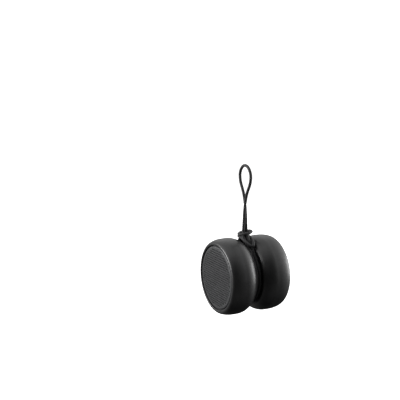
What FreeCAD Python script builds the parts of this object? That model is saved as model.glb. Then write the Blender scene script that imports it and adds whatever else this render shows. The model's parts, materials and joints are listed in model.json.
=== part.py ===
import FreeCAD
import Part
import math
import os

from FreeCAD import Vector

# Shower speaker: two rounded drums on a narrow waist, hung from a loop of cord that is
# tied round the waist. Millimetres, +Z up, X along the drums with the driver at -X.
# The origin is the hang point, the inside top of the cord's loop.

# Driving dimensions
DRUM_R = 19.0
HALF_LENGTH = 16.2
FACE_RIM_R = 16.8
SHOULDER_R = 15.85
GROOVE_HALF = 1.75
GROOVE_EDGE_ROUND = 0.25
CROWN_INNER_X = 8.1
CROWN_OUTER_X = 9.9
HANG_DROP = 54.0
CORD_D = 1.5

# Shoulder of each drum: one arc from the crown down to the groove's edge
SHOULDER_DROP = DRUM_R - SHOULDER_R
SHOULDER_RUN = CROWN_INNER_X - GROOVE_HALF
SHOULDER_ARC_R = (SHOULDER_RUN ** 2 + SHOULDER_DROP ** 2) / (2 * SHOULDER_DROP)
SHOULDER_MID_R = DRUM_R - SHOULDER_ARC_R

# Shells
SKIN_T = 1.1
SKIN_EDGE_R = 12.95
LIP_R = 16.1
LIP_ROUND = 0.35
CUP_RIM_X = HALF_LENGTH - SKIN_T
CUP_WALL_X = GROOVE_HALF + SKIN_T
CUP_FLOOR_X = CUP_WALL_X + 1.2
CUP_BORE_R = 15.7
CUP_STEP_R = 15.1
SEAT_X = 11.9
TOUCH_GAP = 0.03

# Waist hub
HUB_R = 12.8
HUB_BORE_R = 10.6
HUB_HALF = 2.55
HUB_SCREW_R = 11.7
HUB_THREAD = 1.9
HUB_SCREW_ANGLES = [45, 135, 225, 315]

# Screws
SHANK_R = 0.5
PILOT_R = 0.58
CLEAR_R = 0.75
HEAD_R = 0.95
HEAD_H = 0.7
CROSS_W = 0.28
CROSS_DEPTH = 0.35

# Grilles
GRILLE_X = 15.95
GRILLE_T = 0.5
GRILLE_R = 15.62
GRILLE_EDGE_ROUND = 0.6
GRILLE_SKIRT_X = 13.75
GRILLE_WALL = 0.35
HOLE_R = 0.4
HOLE_PITCH = 1.3
HOLE_FIELD_R = 14.6
CLOTH_T = 0.15
CLOTH_R = 14.9

# Driver and radiator, from the seat outward
GASKET_T = 0.3
FLANGE_T = 0.8
FLANGE_R = 15.6
FLANGE_BORE_R = 12.3
MOUNT_SCREW_R = 14.2
BOSS_R = 1.35
BOSS_DEPTH = 4.0
DRIVER_BOSS_ANGLES = [45, 135, 225, 315]
RADIATOR_BOSS_ANGLES = [90, 210, 330]
FLANGE_X = SEAT_X + GASKET_T
FRONT_X = FLANGE_X + FLANGE_T
ROLL_MID_R = 11.2
ROLL_R = 1.0
ROLL_T = 0.25
CONE_R = 10.0
DRIVER_THREAD = 3.2
DIAPHRAGM_T = 0.35
WEIGHT_T = 1.0
WEIGHT_R = 5.0

# Driver motor, from the mid-plane outward
YOKE_BACK_X = 3.5
MAGNET_BACK_X = 4.6
PLATE_BACK_X = 7.3
PLATE_FRONT_X = 8.3
THROAT_X = 9.0
THROAT_R = 9.4
SPIDER_X = 9.5
COIL_R = 5.15
COIL_BACK_X = 5.6
COIL_FRONT_X = 11.3
MAGNET_R = 9.6
MAGNET_BORE_R = 6.4
PLATE_R = 9.0
PLATE_BORE_R = 5.75
POLE_R = 4.6

# Battery and board
BATTERY_R = 9.6
BATTERY_BACK_X = 2.8
BATTERY_FRONT_X = -3.2
WIRE_R = 0.28
DRIVER_LEADS_R = 10.12
DRIVER_LEADS_END_X = -8.25
BATTERY_LEADS_R = 8.4
BOARD_X = 5.2
BOARD_T = 0.8
BOARD_R = 14.4
BOARD_SCREW_R = 12.5
BOARD_SCREW_ANGLES = [65, 180, 295]
BOARD_THREAD = 1.8
BOARD_FACE_X = BOARD_X + BOARD_T

# Controls on the rear of the right drum, as angles from +Y towards +Z
PORT_X = 7.58
PORT_W = 8.94
PORT_H = 3.16
PORT_DEPTH = 7.3
PORT_MOUTH_Y = 17.25
PORT_WALL = 0.3
TUNNEL_W = 9.5
TUNNEL_H = 3.7
END_ROUND = 0.475
COVER_W = 12.6
COVER_H = 5.8
COVER_CORNER = 1.4
POCKET_CORNER = 0.9
COVER_GAP = 0.2
COVER_PIVOT_Z = -7.3
COVER_PIVOT_R = 18.45
COVER_BARREL_R = 0.45
COVER_NECK_W = 3.0
COVER_RELIEF_R = 1.4
NOTCH_TOP_ANGLE = 50
NOTCH_LOW_ANGLE = 166
NOTCH_REACH = 3.0
ANCHOR_LENGTH = 2.4
BUTTON_ANGLE = 48
BUTTON_R = 2.3
BUTTON_PROUD = 0.35
BUTTON_FLANGE_R = 2.8
BUTTON_FLANGE_T = 0.5
BUTTON_STEM_R = 1.0
BUTTON_FACE_R = 16.95
BUTTON_GAP = 0.2
PLUNGER_R = 0.75
PLUNGER_LOW_R = 13.35
PLUNGER_TOP_R = 15.1
LIGHT_ANGLE = 27
LIGHT_R = 0.7
LIGHT_GAP = 0.05
MIC_ANGLE = -48
MIC_HOLE_R = 0.4

# Cord
CORD_R = CORD_D / 2
STRAND_X = 0.8
WRAP_CLEAR = 0.1
WRAP_R = HUB_R + WRAP_CLEAR + CORD_R
KNOT_BASE_Z = 19.6
KNOT_TOP_Z = 22.6
KNOT_R = 3.4
KNOT_CLEAR = 0.35
KNOT_BUNDLE_LOW_Z = 19.2
KNOT_FOOT_Z = 15.6
KNOT_FOOT_R = 5.3
STRAND_HIDDEN_SHARE = 0.08
RUN_SHARE = 0.45

ORIGIN = Vector(0, 0, 0)
AXIS_X = Vector(1, 0, 0)
AXIS_Z = Vector(0, 0, 1)
AXIS_CENTRE = Vector(0, 0, -HANG_DROP)


# ---------------------------------------------------------------- shared shapes

def point(x, r):
    return Vector(x, r, 0)


def line(start, end):
    return Part.LineSegment(point(*start), point(*end)).toShape()


def ellipse_arc(centre, across, along, first_deg, last_deg):
    """Arc of an ellipse in the (x, r) plane, from the first angle to the last."""
    ellipse = Part.Ellipse(point(*centre), across, along)
    low, high = sorted((math.radians(first_deg), math.radians(last_deg)))
    return Part.ArcOfEllipse(ellipse, low, high).toShape()


def circle_arc(start, middle, end):
    return Part.Arc(point(*start), point(*middle), point(*end)).toShape()


def revolve(edges):
    """Solid of revolution about X from the edges of a closed (x, r) outline."""
    wire = Part.Wire(Part.__sortEdges__(edges))
    return Part.Face(wire).revolve(ORIGIN, AXIS_X, 360)


def ring_outline(points):
    pairs = zip(points, points[1:] + points[:1])
    return [line(start, end) for start, end in pairs]


def turned(points):
    """Solid of revolution from straight lines between (x, r) points."""
    return revolve(ring_outline(points))


def ring(x_low, x_high, r_low, r_high):
    return turned([(x_low, r_low), (x_low, r_high), (x_high, r_high), (x_high, r_low)])


def disc(x_low, x_high, radius):
    return Part.makeCylinder(radius, x_high - x_low, point(x_low, 0), AXIS_X)


def around(radius, angle_deg, x=0.0):
    """Point at a radius and an angle from +Y towards +Z."""
    angle = math.radians(angle_deg)
    return Vector(x, radius * math.cos(angle), radius * math.sin(angle))


def outward(angle_deg):
    return around(1, angle_deg)


def post(x_low, x_high, radius, at_r, angle_deg):
    """Cylinder along X, centred at a radius and an angle."""
    return Part.makeCylinder(radius, x_high - x_low, around(at_r, angle_deg, x_low), AXIS_X)


def spoke(x, r_low, r_high, radius, angle_deg):
    """Cylinder pointing away from the axis."""
    start = around(r_low, angle_deg, x)
    return Part.makeCylinder(radius, r_high - r_low, start, outward(angle_deg))


def block(x_low, x_high, r_low, r_high, width, angle_deg=0):
    """Box lying along a spoke: its width is tangential."""
    shape = Part.makeBox(x_high - x_low, r_high - r_low, width,
                         Vector(x_low, r_low, -width / 2))
    shape.rotate(ORIGIN, AXIS_X, angle_deg)
    return shape


def stadium(x_mid, height, width, y_low, y_high, corner):
    """Prism along Y with a rounded outline: height along X and width along Z."""
    shape = Part.makeBox(height, y_high - y_low, width,
                         Vector(x_mid - height / 2, y_low, -width / 2))
    corners = [edge for edge in shape.Edges if runs_along_y(edge)]
    return shape.makeFillet(corner, corners)


def runs_along_y(edge):
    start, end = edge.Vertexes[0].Point, edge.Vertexes[-1].Point
    return abs(start.x - end.x) < TOUCH_GAP and abs(start.z - end.z) < TOUCH_GAP


def joined(first, others):
    return first.multiFuse(others).removeSplitter()


def mirrored(shape):
    """The same piece on the left drum: half a turn about the vertical."""
    copy = shape.copy()
    copy.rotate(ORIGIN, AXIS_Z, 180)
    return copy


def screw(x_seat, length, at_r, angle_deg):
    """Pan-head screw with a cross recess, its head towards +X."""
    head = post(x_seat, x_seat + HEAD_H, HEAD_R, at_r, angle_deg)
    rim = [edge for edge in head.Edges if edge.BoundBox.XMin > x_seat + HEAD_H / 2]
    head = head.makeFillet(HEAD_H / 3, rim)
    shank = post(x_seat - length, x_seat, SHANK_R, at_r, angle_deg)
    centre = around(at_r, angle_deg, x_seat + HEAD_H - CROSS_DEPTH)
    slots = []
    for across, along in ((CROSS_W, HEAD_R), (HEAD_R, CROSS_W)):
        corner = centre - Vector(0, across / 2, along / 2)
        slots.append(Part.makeBox(HEAD_H, across, along, corner))
    return joined(head, [shank]).cut(Part.makeCompound(slots))


def screws(x_seat, length, at_r, angles):
    return [screw(x_seat, length, at_r, angle) for angle in angles]


# ---------------------------------------------------------------- shells

def edge_round(inset):
    """Radius of the small round between the groove wall and the shoulder."""
    return max(GROOVE_EDGE_ROUND - inset, 0)


def wall_top(inset):
    """Radius at which the groove wall ends and the small round begins."""
    turn = edge_round(inset)
    across = SHOULDER_RUN - inset - turn
    return SHOULDER_MID_R + math.sqrt((SHOULDER_ARC_R - inset - turn) ** 2 - across ** 2)


def from_middle(centre, radius, angle):
    """Point of the (x, r) plane at an angle from +r towards -x about a centre."""
    return centre[0] - radius * math.sin(angle), centre[1] + radius * math.cos(angle)


def shoulder(inset):
    """Edges from the groove wall to the crown: the small round, then the large arc."""
    turn = edge_round(inset)
    arc_r = SHOULDER_ARC_R - inset
    middle = (CROWN_INNER_X, SHOULDER_MID_R)
    fall = math.asin((SHOULDER_RUN - inset - turn) / (arc_r - turn))
    low = from_middle(middle, arc_r, fall)
    edges = [circle_arc(low, from_middle(middle, arc_r, fall / 2),
                        from_middle(middle, arc_r, 0))]
    if turn:
        corner = (GROOVE_HALF + inset + turn, wall_top(inset))
        half_way = (fall + math.pi / 2) / 2
        edges.append(circle_arc(from_middle(corner, turn, math.pi / 2),
                                from_middle(corner, turn, half_way), low))
    return edges


def drum_outline(inset):
    """Outer line of a drum, set in by a thickness, from the groove wall to the lip."""
    outer_across = HALF_LENGTH - CROWN_OUTER_X - inset
    crown = DRUM_R - inset
    brow = ellipse_arc((CROWN_OUTER_X, FACE_RIM_R), outer_across,
                       crown - FACE_RIM_R, 0, 90)
    top = line((CROWN_INNER_X, crown), (CROWN_OUTER_X, crown))
    return shoulder(inset) + [top, brow]


def drum_envelope(inset):
    """Solid drum, set in (or, when negative, out) from the skin's surface."""
    wall_x = GROOVE_HALF + inset
    rim_x = HALF_LENGTH - inset
    return revolve(drum_outline(inset) + [
        line((rim_x, FACE_RIM_R), (rim_x, 0)),
        line((rim_x, 0), (wall_x, 0)),
        line((wall_x, 0), (wall_x, wall_top(inset))),
    ])


def plain_skin():
    """Soft cover of one drum, with a rounded lip round the end face."""
    lip_x = HALF_LENGTH
    lip_mid = LIP_ROUND * (1 - math.sqrt(0.5))
    lip = [
        line((lip_x, FACE_RIM_R), (lip_x, LIP_R + LIP_ROUND)),
        circle_arc((lip_x, LIP_R + LIP_ROUND), (lip_x - lip_mid, LIP_R + lip_mid),
                   (lip_x - LIP_ROUND, LIP_R)),
        line((lip_x - LIP_ROUND, LIP_R), (CUP_RIM_X, LIP_R)),
        line((CUP_RIM_X, LIP_R), (CUP_RIM_X, FACE_RIM_R)),
    ]
    foot = [
        line((CUP_WALL_X, wall_top(SKIN_T)), (CUP_WALL_X, SKIN_EDGE_R)),
        line((CUP_WALL_X, SKIN_EDGE_R), (GROOVE_HALF, SKIN_EDGE_R)),
        line((GROOVE_HALF, SKIN_EDGE_R), (GROOVE_HALF, wall_top(0))),
    ]
    return revolve(drum_outline(0) + lip + drum_outline(SKIN_T) + foot)


def plain_cup(boss_angles):
    """Rigid cup inside one skin: a floor on the hub, a stepped bore and bosses."""
    corner = 1.6
    bore = [
        line((CUP_RIM_X, FACE_RIM_R), (CUP_RIM_X, CUP_BORE_R)),
        line((CUP_RIM_X, CUP_BORE_R), (SEAT_X, CUP_BORE_R)),
        line((SEAT_X, CUP_BORE_R), (SEAT_X, CUP_STEP_R)),
        line((SEAT_X, CUP_STEP_R), (CUP_FLOOR_X + corner, CUP_STEP_R)),
        circle_arc((CUP_FLOOR_X + corner, CUP_STEP_R),
                   (CUP_FLOOR_X + corner * (1 - math.sqrt(0.5)),
                    CUP_STEP_R - corner * (1 - math.sqrt(0.5))),
                   (CUP_FLOOR_X, CUP_STEP_R - corner)),
        line((CUP_FLOOR_X, CUP_STEP_R - corner), (CUP_FLOOR_X, HUB_BORE_R)),
        line((CUP_FLOOR_X, HUB_BORE_R), (CUP_WALL_X, HUB_BORE_R)),
        line((CUP_WALL_X, HUB_BORE_R), (CUP_WALL_X, wall_top(SKIN_T))),
    ]
    shell = revolve(drum_outline(SKIN_T) + bore)
    bosses = [post(CUP_FLOOR_X - TOUCH_GAP, SEAT_X, BOSS_R, MOUNT_SCREW_R, angle)
              for angle in boss_angles]
    shell = joined(shell, bosses)
    pilots = [post(SEAT_X - BOSS_DEPTH, SEAT_X + 1, PILOT_R, MOUNT_SCREW_R, angle)
              for angle in boss_angles]
    floor_holes = [post(CUP_WALL_X - 1, CUP_FLOOR_X + 1, CLEAR_R, HUB_SCREW_R, angle)
                   for angle in HUB_SCREW_ANGLES]
    return shell.cut(Part.makeCompound(pilots + floor_holes))


def right_cup():
    """The right cup adds the board's posts and the openings of the controls."""
    post_r = BOSS_R - 0.15
    posts = [post(CUP_FLOOR_X - TOUCH_GAP, BOARD_X, post_r, BOARD_SCREW_R, angle)
             for angle in BOARD_SCREW_ANGLES]
    shell = joined(plain_cup(RADIATOR_BOSS_ANGLES), posts)
    pilots = [post(BOARD_X - BOARD_THREAD - 0.2, BOARD_X + 1, PILOT_R, BOARD_SCREW_R, angle)
              for angle in BOARD_SCREW_ANGLES]
    inside_r = CUP_STEP_R - 0.6
    flange_seat_r = BUTTON_FACE_R + 0.1
    openings = [
        stadium(PORT_X, TUNNEL_H, TUNNEL_W, inside_r - 1, DRUM_R, TUNNEL_H * END_ROUND),
        spoke(PORT_X, inside_r, flange_seat_r, BUTTON_FLANGE_R + BUTTON_GAP, BUTTON_ANGLE),
        spoke(PORT_X, inside_r, DRUM_R, BUTTON_R + BUTTON_GAP, BUTTON_ANGLE),
        spoke(PORT_X, inside_r, DRUM_R, LIGHT_R + LIGHT_GAP, LIGHT_ANGLE),
        spoke(PORT_X, inside_r, DRUM_R, MIC_HOLE_R, MIC_ANGLE),
    ]
    return shell.cut(Part.makeCompound(pilots)).cut(Part.makeCompound(openings))


def cover_pivot():
    """Point of the port cover's hinge line, in (y, z)."""
    return math.sqrt(COVER_PIVOT_R ** 2 - COVER_PIVOT_Z ** 2), COVER_PIVOT_Z


def across_pivot(radius, width):
    y, z = cover_pivot()
    return Part.makeCylinder(radius, width, Vector(PORT_X - width / 2, y, z), AXIS_X)


def hinge_notch():
    """Wedge about the hinge line that lets the cover swing down over its anchor."""
    y, z = cover_pivot()
    middle = (NOTCH_TOP_ANGLE + NOTCH_LOW_ANGLE) / 2
    left_x = PORT_X - COVER_NECK_W
    apex = Vector(left_x, y, z)
    far = [apex + Vector(0, NOTCH_REACH * math.sin(math.radians(angle)),
                         NOTCH_REACH * math.cos(math.radians(angle)))
           for angle in (NOTCH_TOP_ANGLE, middle, NOTCH_LOW_ANGLE)]
    outline = Part.makePolygon([apex] + far + [apex])
    return Part.Face(outline).extrude(AXIS_X * 2 * COVER_NECK_W)


def neck_prism(width, z_low, z_high):
    return Part.makeBox(width, DRUM_R, z_high - z_low,
                        Vector(PORT_X - width / 2, PORT_MOUTH_Y - 4, z_low))


def right_skin():
    """The right skin has a pocket for the port cover and holes for the controls."""
    gap = COVER_GAP
    neck_low = COVER_PIVOT_Z - COVER_BARREL_R - ANCHOR_LENGTH
    cuts = [
        stadium(PORT_X, COVER_H + 2 * gap, COVER_W + 2 * gap, PORT_MOUTH_Y - 4, DRUM_R + 1,
                POCKET_CORNER),
        neck_prism(COVER_NECK_W + 2 * gap, neck_low - 2 * TOUCH_GAP, -COVER_W / 2),
        spoke(PORT_X, CUP_STEP_R, DRUM_R + 1, BUTTON_R + BUTTON_GAP, BUTTON_ANGLE),
        spoke(PORT_X, CUP_STEP_R, DRUM_R + 1, LIGHT_R + LIGHT_GAP, LIGHT_ANGLE),
        spoke(PORT_X, CUP_STEP_R, DRUM_R + 1, MIC_HOLE_R, MIC_ANGLE),
    ]
    skin = plain_skin()
    for tool in cuts:
        skin = skin.cut(tool)
    return skin


# ---------------------------------------------------------------- waist

def waist_hub():
    """Turned spool between the two cups; the cord runs on it."""
    hub = ring(-HUB_HALF, HUB_HALF, HUB_BORE_R, HUB_R)
    depth = HUB_THREAD + 0.4
    pilots = []
    for angle in HUB_SCREW_ANGLES:
        pilots.append(post(HUB_HALF - depth, HUB_HALF + 1, PILOT_R, HUB_SCREW_R, angle))
        pilots.append(post(-HUB_HALF - 1, -HUB_HALF + depth, PILOT_R, HUB_SCREW_R, angle))
    return hub.cut(Part.makeCompound(pilots))


def hub_gasket():
    margin = 0.1
    seal = ring(HUB_HALF, CUP_WALL_X, HUB_BORE_R + margin, HUB_R - margin)
    holes = [post(HUB_HALF - 1, CUP_WALL_X + 1, CLEAR_R, HUB_SCREW_R, angle)
             for angle in HUB_SCREW_ANGLES]
    return seal.cut(Part.makeCompound(holes))


def hub_screws():
    length = CUP_FLOOR_X - HUB_HALF + HUB_THREAD
    right = screws(CUP_FLOOR_X, length, HUB_SCREW_R, HUB_SCREW_ANGLES)
    return right + [mirrored(shape) for shape in right]


# ---------------------------------------------------------------- end faces

def hole_centres():
    """Staggered rows of hole centres inside the perforated field."""
    row_step = HOLE_PITCH * math.sqrt(3) / 2
    reach = int(HOLE_FIELD_R / row_step) + 1
    centres = []
    for row in range(-reach, reach + 1):
        stagger = HOLE_PITCH / 2 if row % 2 else 0
        for column in range(-reach - 1, reach + 2):
            y = column * HOLE_PITCH + stagger
            z = row * row_step
            if math.hypot(y, z) + HOLE_R <= HOLE_FIELD_R:
                centres.append((y, z))
    return centres


def grille():
    """Perforated metal disc with a rolled edge and a short skirt."""
    back_x = GRILLE_X - GRILLE_T
    flat_r = GRILLE_R - GRILLE_EDGE_ROUND
    outline = Part.Wire(Part.makeCircle(flat_r, point(back_x, 0), AXIS_X))
    holes = [Part.Wire(Part.makeCircle(HOLE_R, Vector(back_x, y, z), AXIS_X))
             for y, z in hole_centres()]
    sheet = Part.makeFace([outline] + holes, "Part::FaceMakerBullseye")
    plate = sheet.extrude(AXIS_X * GRILLE_T)
    turn = GRILLE_EDGE_ROUND * (1 - math.sqrt(0.5))
    inner_r = GRILLE_R - GRILLE_WALL
    edge = revolve([
        line((back_x, flat_r), (GRILLE_X, flat_r)),
        circle_arc((GRILLE_X, flat_r), (GRILLE_X - turn, GRILLE_R - turn),
                   (GRILLE_X - GRILLE_EDGE_ROUND, GRILLE_R)),
        line((GRILLE_X - GRILLE_EDGE_ROUND, GRILLE_R), (GRILLE_SKIRT_X, GRILLE_R)),
        line((GRILLE_SKIRT_X, GRILLE_R), (GRILLE_SKIRT_X, inner_r)),
        line((GRILLE_SKIRT_X, inner_r), (back_x, inner_r)),
        line((back_x, inner_r), (back_x, flat_r)),
    ])
    return plate.fuse(edge).removeSplitter()


def cloth():
    high = GRILLE_X - GRILLE_T
    return disc(high - CLOTH_T, high, CLOTH_R)


def flange_gasket(boss_angles):
    seal = ring(SEAT_X, FLANGE_X, MOUNT_SCREW_R - BOSS_R, FLANGE_R)
    holes = [post(SEAT_X - 1, FLANGE_X + 1, CLEAR_R, MOUNT_SCREW_R, angle)
             for angle in boss_angles]
    return seal.cut(Part.makeCompound(holes))


def half_roll(inner_land_r, outer_land_r):
    """Surround: a half-round roll between two flat glue lands."""
    x = FRONT_X
    top = x + ROLL_T
    outer = ROLL_R + ROLL_T / 2
    inner = ROLL_R - ROLL_T / 2
    return revolve([
        line((x, inner_land_r), (top, inner_land_r)),
        line((top, inner_land_r), (top, ROLL_MID_R - outer)),
        circle_arc((top, ROLL_MID_R - outer), (top + outer, ROLL_MID_R),
                   (top, ROLL_MID_R + outer)),
        line((top, ROLL_MID_R + outer), (top, outer_land_r)),
        line((top, outer_land_r), (x, outer_land_r)),
        line((x, outer_land_r), (x, ROLL_MID_R + inner)),
        line((x, ROLL_MID_R + inner), (top, ROLL_MID_R + inner)),
        circle_arc((top, ROLL_MID_R + inner), (top + inner, ROLL_MID_R),
                   (top, ROLL_MID_R - inner)),
        line((top, ROLL_MID_R - inner), (x, ROLL_MID_R - inner)),
        line((x, ROLL_MID_R - inner), (x, inner_land_r)),
    ])


# ---------------------------------------------------------------- driver

def driver_frame():
    """Pressed basket: flange, conical wall with windows, and a ring for the plate."""
    wall = 0.5
    basket = turned([
        (FLANGE_X, FLANGE_R), (FRONT_X, FLANGE_R), (FRONT_X, FLANGE_BORE_R),
        (THROAT_X, THROAT_R), (THROAT_X, MAGNET_BORE_R), (PLATE_FRONT_X, MAGNET_BORE_R),
        (PLATE_FRONT_X, THROAT_R), (PLATE_FRONT_X + 0.2, THROAT_R + wall),
        (FLANGE_X, FLANGE_BORE_R + wall),
    ])
    window_r = 1.1
    window_at_r = 11.1
    window_count = 8
    windows = [post(PLATE_FRONT_X, FLANGE_X, window_r, window_at_r, index * 360 / window_count)
               for index in range(window_count)]
    holes = [post(FLANGE_X - 1, FRONT_X + 1, CLEAR_R, MOUNT_SCREW_R, angle)
             for angle in DRIVER_BOSS_ANGLES]
    return basket.cut(Part.makeCompound(windows + holes))


def driver_top_plate():
    return ring(PLATE_BACK_X, PLATE_FRONT_X, PLATE_BORE_R, PLATE_R)


def driver_magnet():
    return ring(MAGNET_BACK_X, PLATE_BACK_X, MAGNET_BORE_R, MAGNET_R)


def driver_yoke():
    plate = disc(YOKE_BACK_X, MAGNET_BACK_X, PLATE_R)
    pole = disc(MAGNET_BACK_X, PLATE_FRONT_X, POLE_R)
    vent_r = 1.0
    vent = disc(YOKE_BACK_X - 1, PLATE_FRONT_X + 1, vent_r)
    return joined(plate, [pole]).cut(vent)


def driver_voice_coil():
    former_wall = 0.2
    winding_t = 0.3
    winding_half = 1.3
    winding_x = (PLATE_BACK_X + PLATE_FRONT_X) / 2 - 0.2
    former = ring(COIL_BACK_X, COIL_FRONT_X, COIL_R - former_wall, COIL_R)
    winding = ring(winding_x - winding_half, winding_x + winding_half, COIL_R,
                   COIL_R + winding_t)
    return joined(former, [winding])


def driver_cone():
    """Paper cone from the coil's former to the surround's inner land."""
    thickness = 0.3
    neck_x = COIL_FRONT_X - 0.4
    neck_length = 0.8
    land_r = CONE_R - 0.6
    return turned([
        (neck_x, COIL_R), (neck_x + neck_length, COIL_R),
        (FRONT_X, land_r), (FRONT_X, CONE_R),
        (FRONT_X - thickness, CONE_R), (FRONT_X - thickness, land_r),
    ])


def driver_dust_cap():
    """Spherical cap of even thickness, its centre of curvature on the axis."""
    base_x = COIL_FRONT_X + 0.78
    base_r = 5.5
    rise = 1.1
    thickness = 0.25
    sphere_r = (base_r ** 2 + rise ** 2) / (2 * rise)
    centre = point(base_x + rise - sphere_r, 0)
    outer = Part.makeSphere(sphere_r, centre)
    inner = Part.makeSphere(sphere_r - thickness, centre)
    return outer.cut(inner).common(disc(base_x - thickness, base_x + rise + 1, base_r))


def driver_spider():
    """Corrugated suspension disc between the former and the basket."""
    thickness = 0.15
    swing = 0.16
    steps = 9
    inner_r = COIL_R + TOUCH_GAP
    outer_r = THROAT_R + 0.3
    front, back = [], []
    for index in range(steps + 1):
        r = inner_r + (outer_r - inner_r) * index / steps
        x = SPIDER_X + (swing if index % 2 else -swing) * (0 < index < steps)
        front.append((x + thickness, r))
        back.append((x, r))
    return turned(front + back[::-1])


def lead_pair(x_low, x_high, at_r, angle_deg, spread_deg):
    """Two straight insulated wires side by side."""
    return [post(x_low, x_high, WIRE_R, at_r, angle_deg + side * spread_deg)
            for side in (-1, 1)]


# ---------------------------------------------------------------- radiator

def radiator_frame():
    frame = ring(FLANGE_X, FRONT_X, FLANGE_BORE_R, FLANGE_R)
    holes = [post(FLANGE_X - 1, FRONT_X + 1, CLEAR_R, MOUNT_SCREW_R, angle)
             for angle in RADIATOR_BOSS_ANGLES]
    return frame.cut(Part.makeCompound(holes))


def radiator_diaphragm():
    return disc(FRONT_X - DIAPHRAGM_T, FRONT_X, CONE_R)


def radiator_weight():
    front_x = FRONT_X - DIAPHRAGM_T
    return disc(front_x - WEIGHT_T, front_x, WEIGHT_R)


# ---------------------------------------------------------------- electronics

def battery():
    cell = disc(BATTERY_FRONT_X, BATTERY_BACK_X, BATTERY_R)
    rims = [edge for edge in cell.Edges if edge.Length > BATTERY_R * 6]
    rim_round = 0.4
    return cell.makeFillet(rim_round, rims)


def battery_pads():
    front_r = 6.5
    back_r = 7.0
    front = disc(-YOKE_BACK_X, BATTERY_FRONT_X, front_r)
    back = disc(BATTERY_BACK_X, BOARD_X, back_r)
    return [front, back]


def main_board():
    board = disc(BOARD_X, BOARD_FACE_X, BOARD_R)
    notches = [post(BOARD_X - 1, BOARD_FACE_X + 1, BOSS_R + 0.3, MOUNT_SCREW_R, angle)
               for angle in RADIATOR_BOSS_ANGLES]
    holes = [post(BOARD_X - 1, BOARD_FACE_X + 1, CLEAR_R, BOARD_SCREW_R, angle)
             for angle in BOARD_SCREW_ANGLES]
    return board.cut(Part.makeCompound(notches + holes))


def on_board(height, length, width, at_r, angle_deg):
    """Box on the board's face: its length lies along a spoke, its middle at a radius."""
    return block(BOARD_FACE_X, BOARD_FACE_X + height, at_r - length / 2, at_r + length / 2,
                 width, angle_deg)


def radio_module():
    return on_board(height=1.6, length=9.0, width=6.0, at_r=5.0, angle_deg=180)


def amplifier_chip():
    return on_board(height=0.9, length=3.8, width=4.0, at_r=6.2, angle_deg=250)


def charger_chip():
    return on_board(height=0.9, length=3.0, width=3.0, at_r=6.5, angle_deg=320)


def power_inductors():
    return [on_board(height=1.5, length=3.0, width=3.0, at_r=10.0, angle_deg=angle)
            for angle in (235, 262)]


def usb_socket():
    """Metal shell with a rounded mouth, open at the outer end, and a contact tongue."""
    mid = BOARD_FACE_X + PORT_H / 2
    back = PORT_MOUTH_Y - PORT_DEPTH
    corner = PORT_H * END_ROUND
    room_h = PORT_H - 2 * PORT_WALL
    room_w = PORT_W - 2 * PORT_WALL
    shell = stadium(mid, PORT_H, PORT_W, back, PORT_MOUTH_Y, corner)
    room = stadium(mid, room_h, room_w, back + 1, PORT_MOUTH_Y + 1, corner - PORT_WALL)
    tongue_t = 0.7
    tongue_w = 6.6
    tongue_length = PORT_DEPTH - 1.6
    tongue = Part.makeBox(tongue_t, tongue_length, tongue_w,
                          Vector(mid - tongue_t / 2, back + 0.5, -tongue_w / 2))
    return joined(shell.cut(room), [tongue])


def power_switch():
    """Side-actuated push switch at the board's edge."""
    body = on_board(height=3.1, length=2.2, width=3.6, at_r=13.1, angle_deg=BUTTON_ANGLE)
    bore = spoke(PORT_X, PLUNGER_LOW_R - 0.65, PLUNGER_TOP_R, PLUNGER_R + 0.1, BUTTON_ANGLE)
    return body.cut(bore)


def switch_plunger():
    return spoke(PORT_X, PLUNGER_LOW_R, PLUNGER_TOP_R, PLUNGER_R, BUTTON_ANGLE)


def power_button():
    """Round button: a domed cap, a retaining flange and a stem to the switch."""
    flange_low_r = BUTTON_FACE_R - BUTTON_FLANGE_T
    cap = spoke(PORT_X, BUTTON_FACE_R, DRUM_R + 1, BUTTON_R, BUTTON_ANGLE)
    cap = cap.common(drum_envelope(-BUTTON_PROUD))
    flange = spoke(PORT_X, flange_low_r, BUTTON_FACE_R, BUTTON_FLANGE_R, BUTTON_ANGLE)
    stem = spoke(PORT_X, PLUNGER_TOP_R, flange_low_r, BUTTON_STEM_R, BUTTON_ANGLE)
    return joined(cap, [flange, stem])


def status_led():
    return on_board(height=0.8, length=1.4, width=1.6, at_r=13.3, angle_deg=LIGHT_ANGLE)


def status_light():
    """Clear light guide that ends flush with the skin."""
    guide = spoke(PORT_X, CUP_STEP_R - 0.4, DRUM_R + 1, LIGHT_R, LIGHT_ANGLE)
    return guide.common(drum_envelope(0))


def microphone():
    return on_board(height=1.1, length=3.0, width=3.8, at_r=12.5, angle_deg=MIC_ANGLE)


def cover_layer(outer_inset, inner_inset):
    """Layer of the drum between two depths under the skin's surface."""
    return drum_envelope(outer_inset).cut(drum_envelope(inner_inset))


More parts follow.
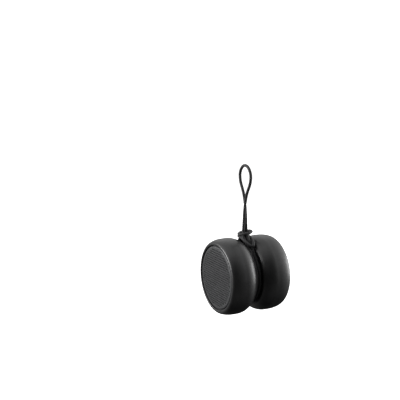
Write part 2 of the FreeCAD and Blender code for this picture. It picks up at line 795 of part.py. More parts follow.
def port_cover():
    """Rubber flap flush with the skin, its plug, and the barrel of its hinge."""
    depth = SKIN_T - 0.15
    layer = cover_layer(0, depth)
    plate = layer.common(stadium(PORT_X, COVER_H, COVER_W, PORT_MOUTH_Y - 4, DRUM_R + 1,
                                 COVER_CORNER))
    plate = plate.cut(across_pivot(COVER_RELIEF_R, 2 * COVER_H))
    neck = layer.common(neck_prism(COVER_NECK_W, COVER_PIVOT_Z, -COVER_W / 2 + 0.5))
    neck = neck.cut(hinge_notch())
    plug_inset = 0.35
    plug_h = TUNNEL_H - 2 * plug_inset
    plug_w = TUNNEL_W - 2 * plug_inset
    plug = stadium(PORT_X, plug_h, plug_w, PORT_MOUTH_Y + 0.1, DRUM_R - 0.5,
                   plug_h * END_ROUND)
    barrel = across_pivot(COVER_BARREL_R, COVER_NECK_W)
    nail_r = 0.7
    nail_at = Vector(PORT_X - COVER_H / 4, DRUM_R + 0.15, COVER_W / 2)
    nail = Part.makeCylinder(nail_r, COVER_H / 2, nail_at, AXIS_X)
    return joined(plate, [neck, plug, barrel]).cut(nail)


def port_cover_anchor():
    """End of the cover's strap, set in the skin below the hinge line."""
    layer = cover_layer(0, SKIN_T - 0.1)
    low = COVER_PIVOT_Z - COVER_BARREL_R - ANCHOR_LENGTH
    strap = layer.common(neck_prism(COVER_NECK_W, low, COVER_PIVOT_Z - 0.2))
    strap = strap.cut(hinge_notch())
    return strap.cut(across_pivot(COVER_BARREL_R + 2 * TOUCH_GAP, COVER_NECK_W + 1))


# ---------------------------------------------------------------- cord

def rounded_path(points):
    """Straight runs joined by tangent arcs, and the radius of each arc."""
    edges, radii = [], []
    start = points[0]
    for before, corner, after in zip(points, points[1:], points[2:]):
        into, out = corner - before, after - corner
        turn = into.getAngle(out)
        setback = RUN_SHARE * min(into.Length, out.Length)
        radii.append(setback / math.tan(turn / 2))
        into.normalize()
        out.normalize()
        first = corner - into * setback
        last = corner + out * setback
        middle_way = out - into
        middle_way.normalize()
        radius = radii[-1]
        centre = corner + middle_way * (radius / math.cos(turn / 2))
        middle = centre - middle_way * radius
        edges.append(Part.LineSegment(start, first).toShape())
        edges.append(Part.Arc(first, middle, last).toShape())
        start = last
    edges.append(Part.LineSegment(start, points[-1]).toShape())
    return edges, radii


def tube(edges, name):
    """Round cord along a path, its volume compared with section times length."""
    path = Part.Wire(edges)
    first = edges[0]
    start = first.Vertexes[0].Point
    section = Part.Wire(Part.makeCircle(CORD_R, start, first.tangentAt(first.FirstParameter)))
    solid = path.makePipeShell([section], True, False)
    expected = math.pi * CORD_R ** 2 * path.Length
    print(f"{name}: length {path.Length:.1f} mm, volume ratio {solid.Volume / expected:.4f}")
    return solid


# Route of one strand of the loop, from the knot up to the top of the loop
STRAND_ROUTE = [
    (-0.85, -0.1, -31.6),
    (-0.78, -0.3, -27.2),
    (-0.62, -0.45, -22.4),
    (-0.4, -0.9, -17.0),
    (-0.1, -2.1, -12.2),
    (0.0, -4.9, -7.9),
    (0.0, -5.6, -3.0),
    (0.0, -2.3, 0.75),
]


def lanyard_loop():
    """The cord's loop, open: up one strand, over the hang point, down the other."""
    up = [Vector(*place) for place in STRAND_ROUTE]
    down = [Vector(-place.x, -place.y, place.z) for place in reversed(up)]
    edges, radii = rounded_path(up + down)
    print("loop arc radii:", " ".join(f"{radius:.1f}" for radius in radii))
    return tube(edges, "lanyard_loop")


def waist_strand(x):
    """One strand: down from the knot, round the hub, and up to the knot again."""
    apex = KNOT_BASE_Z
    off_top = math.acos(WRAP_R / apex)
    front = Vector(x, -WRAP_R * math.sin(off_top), WRAP_R * math.cos(off_top))
    rear = Vector(x, -front.y, front.z)
    bottom = Vector(x, 0, -WRAP_R)
    peak = Vector(x, 0, apex)
    start = peak + (rear - peak) * STRAND_HIDDEN_SHARE
    end = peak + (front - peak) * STRAND_HIDDEN_SHARE
    edges = [
        Part.LineSegment(start, rear).toShape(),
        Part.Arc(rear, bottom, front).toShape(),
        Part.LineSegment(front, end).toShape(),
    ]
    return tube(edges, "waist strand")


def lanyard_waist_wrap():
    return [waist_strand(-STRAND_X), waist_strand(STRAND_X)]


def lanyard_knot():
    """Outer shape of the knot: a round bundle over a base between the shoulders."""
    bundle_h = KNOT_TOP_Z - KNOT_BUNDLE_LOW_Z
    bundle_round = 1.2
    bundle = Part.makeCylinder(KNOT_R, bundle_h, Vector(0, 0, KNOT_BUNDLE_LOW_Z))
    rims = [edge for edge in bundle.Edges if len(edge.Vertexes) == 1]
    bundle = bundle.makeFillet(bundle_round, rims)
    base_h = KNOT_BUNDLE_LOW_Z + bundle_h / 2 - KNOT_FOOT_Z
    base = Part.makeCone(KNOT_FOOT_R, KNOT_R - 0.7, base_h, Vector(0, 0, KNOT_FOOT_Z))
    keep_out = drum_envelope(-KNOT_CLEAR)
    base = base.cut(keep_out).cut(mirrored(keep_out))
    return joined(bundle, [base])


# ---------------------------------------------------------------- assembly

def on_left(shape):
    return [mirrored(solid) for solid in as_list(shape)]


def as_list(shape):
    return shape if isinstance(shape, list) else [shape]


def pieces_on_the_axis():
    """Every piece about the drums' axis, by node name."""
    mount_length = FRONT_X - SEAT_X + DRIVER_THREAD
    driver_mount = screws(FRONT_X, mount_length, MOUNT_SCREW_R, DRIVER_BOSS_ANGLES)
    radiator_mount = screws(FRONT_X, mount_length, MOUNT_SCREW_R, RADIATOR_BOSS_ANGLES)
    board_mount = screws(BOARD_FACE_X, BOARD_T + BOARD_THREAD, BOARD_SCREW_R,
                         BOARD_SCREW_ANGLES)
    front = grille()
    gasket = hub_gasket()
    land_low, land_high = CONE_R - 0.5, FLANGE_BORE_R + 0.7
    return {
        "left_skin": mirrored(plain_skin()),
        "right_skin": right_skin(),
        "left_cup": mirrored(plain_cup(DRIVER_BOSS_ANGLES)),
        "right_cup": right_cup(),
        "waist_hub": waist_hub(),
        "left_hub_gasket": mirrored(gasket),
        "right_hub_gasket": gasket,
        "hub_screws": hub_screws(),
        "left_grille": mirrored(front),
        "right_grille": front,
        "left_membrane": mirrored(cloth()),
        "right_membrane": cloth(),
        "driver_gasket": mirrored(flange_gasket(DRIVER_BOSS_ANGLES)),
        "driver_frame": mirrored(driver_frame()),
        "driver_surround": mirrored(half_roll(land_low, land_high)),
        "driver_cone": mirrored(driver_cone()),
        "driver_dust_cap": mirrored(driver_dust_cap()),
        "driver_voice_coil": mirrored(driver_voice_coil()),
        "driver_spider": mirrored(driver_spider()),
        "driver_top_plate": mirrored(driver_top_plate()),
        "driver_magnet": mirrored(driver_magnet()),
        "driver_yoke": mirrored(driver_yoke()),
        "driver_screws": on_left(driver_mount),
        "driver_leads": lead_pair(DRIVER_LEADS_END_X, BOARD_X, DRIVER_LEADS_R, 90, 3),
        "radiator_gasket": flange_gasket(RADIATOR_BOSS_ANGLES),
        "radiator_frame": radiator_frame(),
        "radiator_surround": half_roll(land_low, land_high),
        "radiator_diaphragm": radiator_diaphragm(),
        "radiator_weight": radiator_weight(),
        "radiator_screws": radiator_mount,
        "battery": battery(),
        "battery_pads": battery_pads(),
        "battery_leads": lead_pair(BATTERY_BACK_X, BOARD_X, BATTERY_LEADS_R, 180, 4),
        "main_board": main_board(),
        "board_screws": board_mount,
        "radio_module": radio_module(),
        "amplifier_chip": amplifier_chip(),
        "charger_chip": charger_chip(),
        "power_inductors": power_inductors(),
        "microphone": microphone(),
        "status_led": status_led(),
        "status_light": status_light(),
        "power_switch": power_switch(),
        "switch_plunger": switch_plunger(),
        "power_button": power_button(),
        "usb_socket": usb_socket(),
        "port_cover": port_cover(),
        "port_cover_anchor": port_cover_anchor(),
        "lanyard_waist_wrap": lanyard_waist_wrap(),
        "lanyard_knot": lanyard_knot(),
    }


def placed(shape):
    solids = []
    for item in as_list(shape):
        copy = item.copy()
        copy.translate(AXIS_CENTRE)
        solids.append(copy)
    return solids


def write(name, solids):
    shape = solids[0] if len(solids) == 1 else Part.makeCompound(solids)
    if not shape.isValid():
        print("not valid:", name)
    shape.exportStep(os.path.join("parts", name + ".step"))


def main():
    os.makedirs("parts", exist_ok=True)
    for name, shape in pieces_on_the_axis().items():
        write(name, placed(shape))
    write("lanyard_loop", [lanyard_loop()])


main()
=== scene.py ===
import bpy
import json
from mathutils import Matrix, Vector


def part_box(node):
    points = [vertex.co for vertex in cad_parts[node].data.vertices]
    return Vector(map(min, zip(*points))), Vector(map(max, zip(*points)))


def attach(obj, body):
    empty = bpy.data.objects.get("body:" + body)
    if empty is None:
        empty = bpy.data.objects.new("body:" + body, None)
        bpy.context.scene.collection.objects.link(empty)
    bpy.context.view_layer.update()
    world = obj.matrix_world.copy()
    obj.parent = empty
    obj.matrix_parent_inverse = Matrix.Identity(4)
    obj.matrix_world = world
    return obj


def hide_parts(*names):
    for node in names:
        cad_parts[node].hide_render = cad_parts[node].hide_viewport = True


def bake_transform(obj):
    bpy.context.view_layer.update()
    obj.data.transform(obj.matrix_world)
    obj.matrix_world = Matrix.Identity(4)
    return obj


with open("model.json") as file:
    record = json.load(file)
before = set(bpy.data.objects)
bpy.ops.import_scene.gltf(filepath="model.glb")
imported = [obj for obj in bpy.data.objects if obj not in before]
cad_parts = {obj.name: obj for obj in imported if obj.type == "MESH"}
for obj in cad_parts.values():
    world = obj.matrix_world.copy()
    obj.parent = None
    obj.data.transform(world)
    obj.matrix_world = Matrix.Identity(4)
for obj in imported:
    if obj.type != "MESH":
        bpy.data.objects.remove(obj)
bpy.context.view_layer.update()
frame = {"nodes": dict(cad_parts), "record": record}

import json
import math

import bmesh
import bpy
import numpy as np
from mathutils import Matrix, Vector

MM = 0.001

# The two drums lie along X; everything round them is placed from the middle of the hub.
hub_low, hub_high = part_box("waist_hub")
AXIS = (hub_low + hub_high) / 2

CORD_D = 1.5 * MM
CORD_R = CORD_D / 2


# ---------------------------------------------------------------- camera

VIEW_AZIMUTH = math.radians(-26.4)
VIEW_ELEVATION = math.radians(9.5)
VIEW_DISTANCE = 367 * MM
LENS_MM = 65.8
CLIP_NEAR = 10 * MM
CLIP_FAR = 50.0
# How far the camera is moved across its own view, which places the speaker in the picture
AIM_RIGHT = -22.26 * MM
AIM_UP = 37.1 * MM


def view_axes():
    """The camera's right, up and backward directions."""
    turn = (math.cos(VIEW_AZIMUTH), math.sin(VIEW_AZIMUTH))
    rise = (math.cos(VIEW_ELEVATION), math.sin(VIEW_ELEVATION))
    back = Vector((turn[1] * rise[0], -turn[0] * rise[0], rise[1]))
    right = Vector((turn[0], turn[1], 0))
    return right, back.cross(right), back


def make_camera():
    """Camera in front and to the left of the speaker, a little above it."""
    right, up, back = view_axes()
    data = bpy.data.cameras.new("camera")
    data.lens = LENS_MM
    data.clip_start = CLIP_NEAR
    data.clip_end = CLIP_FAR
    camera = bpy.data.objects.new("camera", data)
    bpy.context.scene.collection.objects.link(camera)
    place = AXIS + right * AIM_RIGHT + up * AIM_UP + back * VIEW_DISTANCE
    camera.matrix_world = Matrix.Translation(place) @ Matrix((right, up, back)).transposed().to_4x4()
    bpy.context.scene.camera = camera


make_camera()


# ---------------------------------------------------------------- cords

# The braid: yarns each way, length of a yarn's full turn, and relief as a share of the radius
CARRIERS = 8
BRAID_PITCH = 3.4 * MM
BRAID_DEPTH = 0.085
# Height of a yarn where it dives under the next one, as a share of its crown
YARN_END = 0.65

# Fineness of the cord's mesh: points round it, distance between its rings, steps per curve point
AROUND = 48
STEP = 0.09 * MM
CURVE_STEPS = 16


def link(name, data):
    obj = bpy.data.objects.new(name, data)
    bpy.context.scene.collection.objects.link(obj)
    return obj


def centreline(points, closed=False):
    """Points along the smooth NURBS line that has these control points."""
    curve = bpy.data.curves.new("route", "CURVE")
    curve.dimensions = "3D"
    curve.resolution_u = CURVE_STEPS
    spline = curve.splines.new("NURBS")
    spline.points.add(len(points) - 1)
    for slot, place in zip(spline.points, points):
        slot.co = (*place, 1)
    spline.order_u = 3
    spline.use_endpoint_u = not closed
    spline.use_cyclic_u = closed
    route = link("route", curve)
    mesh = bpy.data.meshes.new_from_object(route)
    line = np.array([vertex.co for vertex in mesh.vertices])
    bpy.data.objects.remove(route)
    bpy.data.meshes.remove(mesh)
    return np.vstack([line, line[:1]]) if closed else line


def evenly(line, step):
    """The same line with its points a step apart, and how far along it each one is."""
    gaps = np.linalg.norm(np.diff(line, axis=0), axis=1)
    along = np.concatenate([[0], np.cumsum(gaps)])
    count = max(2, int(round(along[-1] / step)))
    stops = np.linspace(0, along[-1], count + 1)
    return np.stack([np.interp(stops, along, line[:, k]) for k in range(3)], axis=1), stops


def side_vectors(line, closed):
    """Two directions across the line at each point, carried along it without twist."""
    ahead = np.gradient(line, axis=0)
    if closed:
        ahead[0] = ahead[-1] = line[1] - line[-2]
    ahead /= np.linalg.norm(ahead, axis=1)[:, None]
    start = np.cross(ahead[0], (0, 0, 1) if abs(ahead[0][2]) < 0.9 else (1, 0, 0))
    first = [start / np.linalg.norm(start)]
    for tangent in ahead[1:]:
        carried = first[-1] - tangent * np.dot(first[-1], tangent)
        first.append(carried / np.linalg.norm(carried))
    first = np.array(first)
    second = np.cross(ahead, first)
    if closed:
        slip = math.atan2(np.dot(first[-1], second[0]), np.dot(first[-1], first[0]))
        untwist = np.linspace(0, -slip, len(line))[:, None]
        first, second = (first * np.cos(untwist) + second * np.sin(untwist),
                         second * np.cos(untwist) - first * np.sin(untwist))
    return first, second


def braid_relief(stops, angles):
    """Height of the braid's yarns over a tube, from 0 in the gaps to 1 on the crowns."""
    turns = angles[None, :] / (2 * math.pi) * CARRIERS
    travel = stops[:, None] / BRAID_PITCH * CARRIERS
    left, right = turns + travel, turns - travel
    over = (np.floor(left) + np.floor(right)) % 2 == 0
    across = np.where(over, left, right) % 1
    along = np.where(over, right, left) % 1
    crown = np.sqrt(np.clip(1 - (2 * across - 1) ** 2, 0, 1))
    bulge = YARN_END + (1 - YARN_END) * np.sin(math.pi * along)
    return crown * bulge


def braided_tube(name, points, closed=False):
    """Braided cord as one mesh along a smooth route; returns it and its centreline."""
    line = centreline(points, closed)
    places, stops = evenly(line, STEP)
    if closed:
        turns = max(1, round(stops[-1] / BRAID_PITCH * CARRIERS / 2) * 2)
        stops = stops / stops[-1] * turns * BRAID_PITCH / CARRIERS
    first, second = side_vectors(places, closed)
    angles = np.linspace(0, 2 * math.pi, AROUND, endpoint=False)
    heights = CORD_R * (1 - BRAID_DEPTH + BRAID_DEPTH * braid_relief(stops, angles))
    ring = (first[:, None, :] * np.cos(angles)[None, :, None]
            + second[:, None, :] * np.sin(angles)[None, :, None])
    rows = places[:, None, :] + ring * heights[:, :, None]
    if closed:
        rows = rows[:-1]
    count = len(rows)
    vertices = rows.reshape(-1, 3)
    faces = []
    for row in range(count if closed else count - 1):
        low, high = row * AROUND, (row + 1) % count * AROUND
        for k in range(AROUND):
            after = (k + 1) % AROUND
            faces.append((low + k, low + after, high + after, high + k))
    if not closed:
        faces.append(tuple(reversed(range(AROUND))))
        faces.append(tuple(range((count - 1) * AROUND, count * AROUND)))
    mesh = bpy.data.meshes.new(name)
    mesh.from_pydata(vertices.tolist(), [], faces)
    mesh.shade_smooth()
    obj = link(name, mesh)
    return obj, line


# Route of one strand of the loop, from the knot up to the top of the loop
STRAND_ROUTE = [
    (-0.85, -0.1, -31.6),
    (-0.78, -0.3, -27.2),
    (-0.62, -0.45, -22.4),
    (-0.4, -0.9, -17.0),
    (-0.1, -2.1, -12.2),
    (0.0, -4.9, -7.9),
    (0.0, -5.6, -3.0),
    (0.0, -2.3, 0.75),
]


def loop_route():
    """Up one strand and down the other, half a turn round from it."""
    up = [Vector(place) * MM for place in STRAND_ROUTE]
    down = [Vector((-place.x, -place.y, place.z)) for place in reversed(up)]
    return up + down


def near_axis(x, y, z):
    """Point in millimetres from the middle of the hub."""
    return AXIS + Vector((x, y, z)) * MM


# The two strands in the groove: radius of their middle line round the hub, distance from the
# middle plane, degrees between the route's points, and degrees from the top where they leave the hub
WRAP_R = 13.65
WRAP_X = 0.8
WRAP_TURN = 12
WRAP_TOP = 46
NECK_ROUTE = [
    (0.95, 1.0, 21.6),
    (1.15, 1.5, 19.9),
    (1.0, 3.2, 17.7),
    (WRAP_X, 6.2, 13.9),
]


def waist_strand_route(side):
    """Down from the knot's neck at the rear, round the hub, and up again at the front."""
    neck = [(side * x, y, z) for x, y, z in NECK_ROUTE]
    first, last = WRAP_TOP, 360 - WRAP_TOP
    turn = (last - first) / round((last - first) / WRAP_TURN)
    reach = WRAP_R / math.cos(math.radians(turn / 2))
    around = []
    angle = first + turn / 2
    while angle < last:
        around.append((side * WRAP_X, reach * math.sin(math.radians(angle)),
                       reach * math.cos(math.radians(angle))))
        angle += turn
    front = [(x, -y, z) for x, y, z in reversed(neck)]
    return [near_axis(*place) for place in neck + around + front]


COLLAR_HALF_X = 3.45
COLLAR_HALF_Y = 2.7
COLLAR_X = 0.15
COLLAR_Z = 21.15
COLLAR_TILT = 0.17
COLLAR_POINTS = 10


def collar_route():
    """Closed turn of cord round the neck of the knot, tilted about Y."""
    points = []
    for index in range(COLLAR_POINTS):
        angle = 2 * math.pi * index / COLLAR_POINTS
        x, y = COLLAR_HALF_X * math.cos(angle), COLLAR_HALF_Y * math.sin(angle)
        points.append(near_axis(COLLAR_X + x, y, COLLAR_Z + COLLAR_TILT * x))
    return points


# Second turn of the hitch: round the neck behind, and down over the front of the groove
HITCH_ROUTE = [
    (-2.2, 0.6, 19.4),
    (-2.4, -2.4, 18.7),
    (-2.0, -5.2, 17.2),
    (-0.7, -7.2, 15.7),
    (0.9, -7.5, 16.0),
    (1.7, -5.2, 17.7),
    (2.0, -2.2, 19.0),
    (2.2, 1.0, 19.5),
    (1.4, 3.6, 19.3),
    (-0.9, 3.9, 19.1),
    (-2.1, 2.8, 19.1),
]

# Strands that fill the neck under the collar, each from inside the collar towards the waist
SIDE_RIB_ROUTE = [
    (-2.2, -1.8, 21.0),
    (-2.2, -2.3, 19.4),
    (-2.1, -3.7, 17.8),
    (-1.3, -5.9, 15.4),
    (-0.8, -8.6, 11.3),
]
MIDDLE_RIB_ROUTE = [
    (-0.2, -2.4, 21.0),
    (-0.1, -3.1, 19.4),
    (0.0, -4.4, 17.4),
    (0.0, -5.9, 15.0),
    (0.0, -7.3, 11.9),
]

# Inside the knot: the ends of the loop's strands, and the core that they meet
TAIL_ROUTE = [
    (-0.85, -0.1, 22.65),
    (-0.84, -0.1, 21.4),
    (-0.7, 0.0, 20.0),
    (-0.5, 0.0, 18.3),
]
CORE_ROUTE = [
    (0.1, 0.0, 21.9),
    (-0.1, 0.1, 19.5),
    (0.1, -0.1, 16.8),
    (0.0, 0.0, 13.7),
]


def half_turned(route):
    """The same route on the other side of the speaker, turned about the vertical."""
    return [(-x, -y, z) for x, y, z in route]


def make_cord_pieces():
    """The loop, the two strands round the waist, and the turns of the knot."""
    loop, line = braided_tube("lanyard_cord", loop_route())
    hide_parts("lanyard_loop")
    pieces = [loop]
    for name, side in (("waist_strand_left", -1), ("waist_strand_right", 1)):
        pieces.append(braided_tube(name, waist_strand_route(side))[0])
    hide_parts("lanyard_waist_wrap")
    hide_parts("lanyard_waist_wrap")
    hitch_points = [near_axis(*place) for place in HITCH_ROUTE]
    knot = [braided_tube("knot_collar", collar_route(), closed=True)[0],
            braided_tube("knot_hitch", hitch_points, closed=True)[0]]
    strands = {
        "knot_core": CORE_ROUTE,
        "knot_tail_left": TAIL_ROUTE,
        "knot_tail_right": half_turned(TAIL_ROUTE),
        "knot_rib_front_left": SIDE_RIB_ROUTE,
        "knot_rib_front": MIDDLE_RIB_ROUTE,
        "knot_rib_rear_right": half_turned(SIDE_RIB_ROUTE),
        "knot_rib_rear": half_turned(MIDDLE_RIB_ROUTE),
    }
    for name, route in strands.items():
        knot.append(braided_tube(name, [near_axis(*place) for place in route])[0])
    for piece in knot:
        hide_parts("lanyard_knot")
    pieces += knot
    for piece in pieces:
        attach(piece, "lanyard")
    return pieces


cord_pieces = make_cord_pieces()


# ---------------------------------------------------------------- spider

# The corrugations of the cloth, and the sectors that its disc is divided into
SPIDER_FOLDS = 9
SPIDER_SWING = 0.16 * MM
SPIDER_T = 0.15 * MM
SPIDER_SECTORS = 8
SECTOR_STEPS = 8
SECTOR_ANGLE = 2 * math.pi / SPIDER_SECTORS


def around_axis(x, radius, angle):
    """Point at this radius about the drums' axis, its angle from +Y towards +Z."""
    return Vector((x, AXIS.y + radius * math.cos(angle), AXIS.z + radius * math.sin(angle)))


def spider_profile(middle_x, inner_r, outer_r):
    """Closed zigzag outline of the corrugated cloth, as (x, radius) points."""
    front, back = [], []
    for index in range(SPIDER_FOLDS + 1):
        radius = inner_r + (outer_r - inner_r) * index / SPIDER_FOLDS
        swing = 0 if index in (0, SPIDER_FOLDS) else SPIDER_SWING * (1 if index % 2 else -1)
        front.append((middle_x + swing + SPIDER_T / 2, radius))
        back.append((middle_x + swing - SPIDER_T / 2, radius))
    return front + back[::-1]


def spider_sector(name, profile, first_angle):
    """One sector of the disc: the outline swept about the drums' axis."""
    shape = bmesh.new()
    rings = []
    for step in range(SECTOR_STEPS + 1):
        angle = first_angle + SECTOR_ANGLE * step / SECTOR_STEPS
        rings.append([shape.verts.new(around_axis(x, radius, angle)) for x, radius in profile])
    count = len(profile)
    for near, far in zip(rings, rings[1:]):
        for k in range(count):
            after = (k + 1) % count
            shape.faces.new((near[k], near[after], far[after], far[k]))
    for k in range(SPIDER_FOLDS):
        for ring in (rings[0], rings[-1]):
            shape.faces.new((ring[k], ring[k + 1], ring[count - 2 - k], ring[count - 1 - k]))
    bmesh.ops.recalc_face_normals(shape, faces=shape.faces)
    mesh = bpy.data.meshes.new(name)
    shape.to_mesh(mesh)
    shape.free()
    return link(name, mesh)


def make_spider():
    """The driver's cloth suspension, stretching between the coil and the basket."""
    node = frame["nodes"]["driver_spider"]
    low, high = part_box("driver_spider")
    outer_r = (high.z - low.z) / 2
    inner_r = min(math.hypot(vertex.co.y - AXIS.y, vertex.co.z - AXIS.z)
                  for vertex in node.data.vertices)
    profile = spider_profile((low.x + high.x) / 2, inner_r, outer_r)
    pieces = []
    for index in range(SPIDER_SECTORS):
        first_angle = SECTOR_ANGLE * index
        piece = spider_sector(f"driver_spider_{index + 1}", profile, first_angle)
        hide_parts("driver_spider")
        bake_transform(piece)
        pieces.append(piece)
    return pieces


spider_pieces = make_spider()


# ---------------------------------------------------------------- materials

# Noise scales are in grains per metre.
SLOW_SCALE = 260.0
SLOW_DETAIL = 4.0
GRAIN_DETAIL = 3.0
NOISE_ROUGHNESS = 0.6
GLOSS_SWING = 0.05
RAMP_LOW = 0.3
RAMP_HIGH = 0.7

# Sockets of a colour Mix node, whose names repeat
MIX_A = 6
MIX_B = 7
MIX_RESULT = 2


def shader_of(made):
    return made.node_tree.nodes["Principled BSDF"]


def material(name, colour, rough, metal=0.0, specular=0.5):
    made = bpy.data.materials.new(name)
    made.use_nodes = True
    shader = shader_of(made)
    shader.inputs["Base Color"].default_value = (*colour, 1)
    shader.inputs["Roughness"].default_value = rough
    shader.inputs["Metallic"].default_value = metal
    shader.inputs["Specular IOR Level"].default_value = specular
    return made


def add(made, kind, **values):
    """New node, with these input values and settings."""
    node = made.node_tree.nodes.new(kind)
    for name, value in values.items():
        if name in node.inputs:
            node.inputs[name].default_value = value
        else:
            setattr(node, name, value)
    return node


def wire(made, source, output, target, socket):
    made.node_tree.links.new(source.outputs[output], target.inputs[socket])


def speckle(made, scale, detail):
    """Noise in the object's own space."""
    place = add(made, "ShaderNodeTexCoord")
    noise = add(made, "ShaderNodeTexNoise", Scale=scale, Detail=detail,
                Roughness=NOISE_ROUGHNESS)
    wire(made, place, "Object", noise, "Vector")
    return noise


def vary_colour(made, noise, dark, light):
    ramp = add(made, "ShaderNodeValToRGB")
    low, high = ramp.color_ramp.elements
    low.position = RAMP_LOW
    high.position = RAMP_HIGH
    low.color = (*dark, 1)
    high.color = (*light, 1)
    wire(made, noise, "Fac", ramp, "Fac")
    wire(made, ramp, "Color", shader_of(made), "Base Color")


def vary_rough(made, noise, low, high):
    ranged = add(made, "ShaderNodeMapRange")
    ranged.inputs["To Min"].default_value = low
    ranged.inputs["To Max"].default_value = high
    wire(made, noise, "Fac", ranged, "Value")
    wire(made, ranged, "Result", shader_of(made), "Roughness")


def bumpy(made, noise, depth):
    bump = add(made, "ShaderNodeBump", Strength=1.0, Distance=depth)
    wire(made, noise, "Fac", bump, "Height")
    wire(made, bump, "Normal", shader_of(made), "Normal")


def grained(name, colour, rough, spread=0.25, grain=9000.0, depth=0.01 * MM, metal=0.0,
            specular=0.5):
    """Surface with a fine grain, and slow changes of colour and gloss over it."""
    made = material(name, colour, rough, metal, specular)
    slow = speckle(made, SLOW_SCALE, SLOW_DETAIL)
    dark = tuple(c * (1 - spread) for c in colour)
    light = tuple(min(1.0, c * (1 + spread)) for c in colour)
    vary_colour(made, slow, dark, light)
    vary_rough(made, slow, rough - GLOSS_SWING, rough + GLOSS_SWING)
    bumpy(made, speckle(made, grain, GRAIN_DETAIL), depth)
    return made


def make_materials():
    """One material for each slot of the record."""
    rubber = (0.013, 0.013, 0.0135)
    return {
        "skin": grained("soft_touch_rubber", rubber, 0.34, grain=7000.0, depth=0.006 * MM),
        "button_rubber": grained("button_rubber", rubber, 0.46, depth=0.006 * MM),
        "cover_rubber": grained("cover_rubber", rubber, 0.46, depth=0.006 * MM),
        "shell_plastic": grained("moulded_plastic", (0.012, 0.012, 0.013), 0.5),
        "seal_rubber": grained("seal_rubber", (0.02, 0.02, 0.02), 0.7),
        "screw_steel": grained("zinc_steel", (0.5, 0.5, 0.51), 0.32, 0.1, metal=1.0),
        "grille_metal": grille_material(),
        "membrane_cloth": grained("membrane_cloth", (0.04, 0.04, 0.04), 0.9),
        "driver_steel": grained("driver_steel", (0.12, 0.12, 0.125), 0.35, metal=0.9),
        "surround_rubber": grained("surround_rubber", (0.015, 0.015, 0.015), 0.6),
        "cone_paper": grained("cone_paper", (0.02, 0.02, 0.02), 0.8, depth=0.03 * MM),
        "coil_copper": grained("enamelled_copper", (0.6, 0.25, 0.1), 0.25, metal=1.0),
        "spider_cloth": grained("spider_cloth", (0.4, 0.28, 0.12), 0.8),
        "magnet": grained("ferrite", (0.05, 0.05, 0.055), 0.55),
        "lead_insulation": grained("lead_insulation", (0.25, 0.015, 0.015), 0.35),
        "radiator_plate": grained("radiator_plate", (0.1, 0.1, 0.1), 0.35, metal=1.0),
        "battery_wrap": grained("battery_wrap", (0.03, 0.08, 0.3), 0.3),
        "foam": grained("foam", (0.03, 0.03, 0.03), 0.9, grain=3000.0, depth=0.08 * MM),
        "circuit_board": grained("circuit_board", (0.01, 0.08, 0.035), 0.3),
        "chip_shield": grained("chip_shield", (0.55, 0.55, 0.55), 0.3, 0.1, metal=1.0),
        "chip_black": grained("chip_epoxy", (0.015, 0.015, 0.015), 0.5),
        "led_white": grained("led_ceramic", (0.75, 0.74, 0.7), 0.4, 0.05),
        "light_guide": grained("light_guide", (0.5, 0.52, 0.55), 0.25, 0.05),
        "switch_plunger": grained("switch_plunger", (0.4, 0.4, 0.4), 0.45),
        "socket_steel": grained("socket_steel", (0.5, 0.5, 0.5), 0.28, 0.1, metal=1.0),
        "cord": cord_material(),
    }


def grille_material():
    """Dark powder coat, painted paler grey where the surface faces away from X, in the holes:
    painted light that lifts the holes' shade.
    """
    made = grained("powder_coated_metal", (0.036, 0.0365, 0.038), 0.46, grain=11000.0,
                   depth=0.008 * MM, metal=0.3)
    place = add(made, "ShaderNodeTexCoord")
    split = add(made, "ShaderNodeSeparateXYZ")
    level = add(made, "ShaderNodeMath", operation="ABSOLUTE")
    # Painted light: the hole walls turn pale grey as the normal turns away from X, lifting the shade
    # in the holes
    painted_hole_light = add(made, "ShaderNodeMix", data_type="RGBA")
    paint = shader_of(made).inputs["Base Color"].links[0].from_socket
    painted_hole_light.inputs[MIX_A].default_value = (0.11, 0.11, 0.115, 1)
    wire(made, place, "Normal", split, "Vector")
    wire(made, split, "X", level, 0)
    wire(made, level, "Value", painted_hole_light, 0)
    made.node_tree.links.new(paint, painted_hole_light.inputs[MIX_B])
    wire(made, painted_hole_light, MIX_RESULT, shader_of(made), "Base Color")
    return made


def cord_material():
    """Black polyester yarn: soft sheen over a fine fibre grain."""
    made = grained("braided_polyester", (0.008, 0.008, 0.0088), 0.62, grain=14000.0,
                   depth=0.015 * MM, specular=0.4)
    shader_of(made).inputs["Sheen Weight"].default_value = 0.12
    shader_of(made).inputs["Sheen Roughness"].default_value = 0.5
    return made


materials = make_materials()
slots = {part["node"]: part["material_slot"] for part in frame["record"]["subparts"]}


def dress():
    """A material on every CAD node and every new piece."""
    for node, obj in frame["nodes"].items():
        obj.data.materials.clear()
        obj.data.materials.append(materials[slots[node]])
    for piece in cord_pieces:
        piece.data.materials.append(materials["cord"])
    for piece in spider_pieces:
        piece.data.materials.append(materials["spider_cloth"])


dress()


# ---------------------------------------------------------------- studio

FLOOR_DROP = 300 * MM
# In metres; the backdrop has to stay nearer than the far clip of a camera on any side.
STAGE_R = 2.0
STAGE_AROUND = 64
STAGE_RINGS = 32
PAPER_GLOW = 0.95


def pale_paper():
    made = material("pale_paper", (0.9, 0.9, 0.9), 0.9)
    shader = shader_of(made)
    shader.inputs["Emission Color"].default_value = (1, 1, 1, 1)
    shader.inputs["Emission Strength"].default_value = PAPER_GLOW
    return made


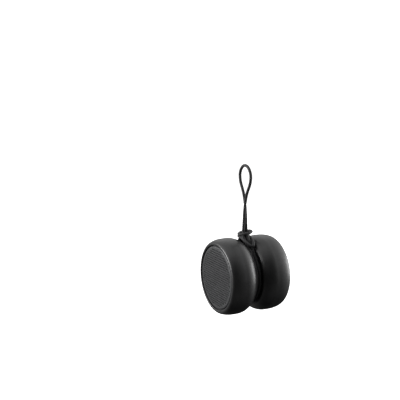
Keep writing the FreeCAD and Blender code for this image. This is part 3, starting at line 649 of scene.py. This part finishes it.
def make_stage():
    """Pale floor and round backdrop in one sweep, seen by the camera alone."""
    mesh = bpy.data.meshes.new("sweep")
    shape = bmesh.new()
    bmesh.ops.create_uvsphere(shape, u_segments=STAGE_AROUND, v_segments=STAGE_RINGS,
                              radius=STAGE_R)
    floor_z = AXIS.z - FLOOR_DROP
    for vertex in shape.verts:
        vertex.co.z = max(vertex.co.z, floor_z)
    shape.to_mesh(mesh)
    shape.free()
    mesh.materials.append(pale_paper())
    sweep = link("sweep", mesh)
    sweep.visible_diffuse = False
    sweep.visible_glossy = False
    sweep.visible_shadow = False


# Broad soft glows round the speaker: azimuth from +X towards +Y, elevation, brightness
SOFT_LIGHTS = [
    (0, 25, 2.0),
    (145, 30, 1.5),
    (-20, 0, 1.25),
    (70, 30, 1.0),
    (0, 90, 0.8),
    (145, 60, 0.5),
    (-35, 30, 0.5),
    (-145, 60, 0.3),
    (110, -30, 0.3),
    (180, -30, 0.2),
    (-90, -45, 0.2),
]
# How quickly a glow fades away from its middle
SOFT_FOCUS = 8


def towards(azimuth, elevation):
    """Unit direction from the speaker."""
    turn, rise = math.radians(azimuth), math.radians(elevation)
    return Vector((math.cos(turn) * math.cos(rise), math.sin(turn) * math.cos(rise),
                   math.sin(rise)))


def make_world():
    """Dark surroundings with the broad soft lights in them."""
    world = bpy.data.worlds.new("studio")
    bpy.context.scene.world = world
    world.use_nodes = True
    nodes, links = world.node_tree.nodes, world.node_tree.links
    place = nodes.new("ShaderNodeTexCoord")
    total = None
    for azimuth, elevation, brightness in SOFT_LIGHTS:
        facing = nodes.new("ShaderNodeVectorMath")
        facing.operation = "DOT_PRODUCT"
        facing.inputs[1].default_value = towards(azimuth, elevation)
        falling = nodes.new("ShaderNodeMath")
        falling.operation = "MULTIPLY_ADD"
        falling.inputs[1].default_value = SOFT_FOCUS
        falling.inputs[2].default_value = -SOFT_FOCUS
        glow = nodes.new("ShaderNodeMath")
        glow.operation = "EXPONENT"
        summed = nodes.new("ShaderNodeMath")
        summed.operation = "MULTIPLY_ADD"
        summed.inputs[1].default_value = brightness
        summed.inputs[2].default_value = 0
        links.new(place.outputs["Generated"], facing.inputs[0])
        links.new(facing.outputs["Value"], falling.inputs[0])
        links.new(falling.outputs["Value"], glow.inputs[0])
        links.new(glow.outputs["Value"], summed.inputs[0])
        if total:
            links.new(total.outputs["Value"], summed.inputs[2])
        total = summed
    links.new(total.outputs["Value"], nodes["Background"].inputs["Color"])


LIGHT_DISTANCE = 0.8


def softbox(name, azimuth, elevation, width, height, radiance):
    """Rectangular light that faces the speaker, itself unseen; degrees and metres."""
    place = AXIS + towards(azimuth, elevation) * LIGHT_DISTANCE
    data = bpy.data.lights.new(name, "AREA")
    data.shape = "RECTANGLE"
    data.size = width
    data.size_y = height
    data.energy = radiance * math.pi * width * height
    lamp = link(name, data)
    lamp.location = place
    lamp.rotation_mode = "QUATERNION"
    lamp.rotation_quaternion = (AXIS - place).to_track_quat("-Z", "Y")
    lamp.visible_camera = False


def make_lights():
    """The rim of the left end, and both sides of the groove, are lit by a box each."""
    make_world()
    softbox("left_rear_box", 148, 10, 0.45, 0.3, 12.0)
    softbox("right_box", -8, 5, 0.4, 0.45, 5.0)
    softbox("left_box", 178, 20, 0.3, 0.5, 4.5)


make_stage()
make_lights()
bpy.context.scene.view_settings.view_transform = "Standard"
